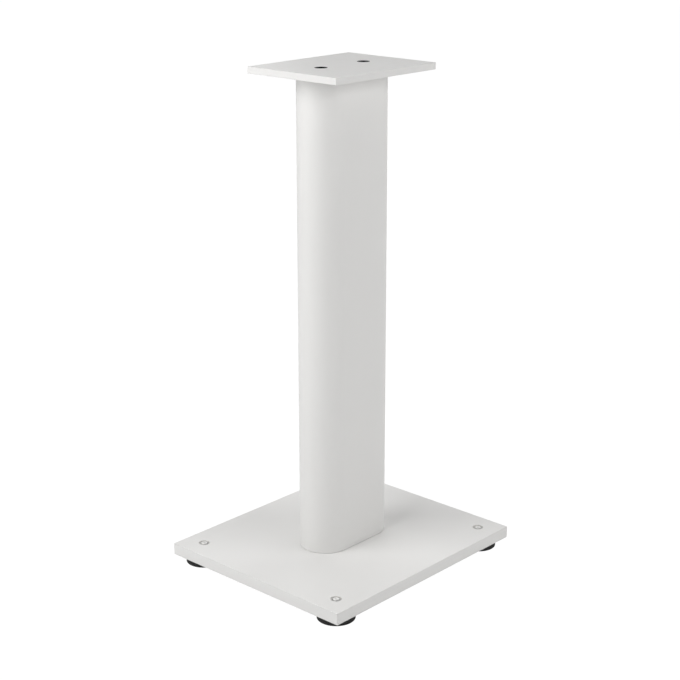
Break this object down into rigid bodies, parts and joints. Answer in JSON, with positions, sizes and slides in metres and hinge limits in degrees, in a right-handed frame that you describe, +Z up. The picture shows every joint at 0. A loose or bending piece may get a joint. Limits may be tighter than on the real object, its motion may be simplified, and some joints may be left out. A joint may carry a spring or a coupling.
{
  "type": "speaker stand",
  "caption": "Floor stand for a small loudspeaker: flat top plate on an oblong column, on a wide base board with round levelling feet.",
  "frame": {"origin": "on the floor under the middle of the stand, with the feet wound right in", "axes": "+Z up; -Y is the front, which the column's narrow round end faces; +X is the right side seen from the front"},
  "size_m": [0.275, 0.3186, 0.6095],
  "materials": {
    "white_plate": "satin white powder coat",
    "white_column": "satin white powder coat over extruded aluminium",
    "white_board": "satin white lacquer over fibreboard",
    "black_screw": "black oxide",
    "zinc_steel": "satin zinc plate",
    "black_plastic": "matte moulded",
    "black_rubber": "matte"
  },
  "bodies": {
    "stand": {"top_plate": "white_plate", "column": "white_column", "base_plate": "white_board", "top_screw_front": "black_screw", "top_screw_rear": "black_screw", "base_screw_front": "zinc_steel", "base_screw_rear": "zinc_steel", "base_washer_front": "zinc_steel", "base_washer_rear": "zinc_steel", "foot_insert_front_left": "zinc_steel", "foot_insert_front_right": "zinc_steel", "foot_insert_rear_left": "zinc_steel", "foot_insert_rear_right": "zinc_steel"},
    "pad_front_left": {"foot_pad_front_left": "black_plastic", "foot_sole_front_left": "black_rubber"},
    "stud_front_left": {"foot_stud_front_left": "zinc_steel"},
    "pad_front_right": {"foot_pad_front_right": "black_plastic", "foot_sole_front_right": "black_rubber"},
    "stud_front_right": {"foot_stud_front_right": "zinc_steel"},
    "pad_rear_left": {"foot_pad_rear_left": "black_plastic", "foot_sole_rear_left": "black_rubber"},
    "stud_rear_left": {"foot_stud_rear_left": "zinc_steel"},
    "pad_rear_right": {"foot_pad_rear_right": "black_plastic", "foot_sole_rear_right": "black_rubber"},
    "stud_rear_right": {"foot_stud_rear_right": "zinc_steel"}
  },
  "joints": [
    {"name": "foot_travel_front_left", "type": "slide", "parent": "stand", "child": "pad_front_left", "axis": [0, 0, -1], "range_m": [0, 0.0075]},
    {"name": "foot_turn_front_left", "type": "hinge", "parent": "pad_front_left", "child": "stud_front_left", "pos_m": [-0.111, -0.1325, 0.016], "axis": [0, 0, -1], "range_deg": [0, 2160]},
    {"name": "foot_travel_front_right", "type": "slide", "parent": "stand", "child": "pad_front_right", "axis": [0, 0, -1], "range_m": [0, 0.0075]},
    {"name": "foot_turn_front_right", "type": "hinge", "parent": "pad_front_right", "child": "stud_front_right", "pos_m": [0.111, -0.1325, 0.016], "axis": [0, 0, -1], "range_deg": [0, 2160]},
    {"name": "foot_travel_rear_left", "type": "slide", "parent": "stand", "child": "pad_rear_left", "axis": [0, 0, -1], "range_m": [0, 0.0075]},
    {"name": "foot_turn_rear_left", "type": "hinge", "parent": "pad_rear_left", "child": "stud_rear_left", "pos_m": [-0.111, 0.1325, 0.016], "axis": [0, 0, -1], "range_deg": [0, 2160]},
    {"name": "foot_travel_rear_right", "type": "slide", "parent": "stand", "child": "pad_rear_right", "axis": [0, 0, -1], "range_m": [0, 0.0075]},
    {"name": "foot_turn_rear_right", "type": "hinge", "parent": "pad_rear_right", "child": "stud_rear_right", "pos_m": [0.111, 0.1325, 0.016], "axis": [0, 0, -1], "range_deg": [0, 2160]}
  ],
  "couplings": [
    {"joint": "foot_turn_front_left", "follows": "foot_travel_front_left", "rad_per_m": 5026.5},
    {"joint": "foot_turn_front_right", "follows": "foot_travel_front_right", "rad_per_m": 5026.5},
    {"joint": "foot_turn_rear_left", "follows": "foot_travel_rear_left", "rad_per_m": 5026.5},
    {"joint": "foot_turn_rear_right", "follows": "foot_travel_rear_right", "rad_per_m": 5026.5}
  ]
}
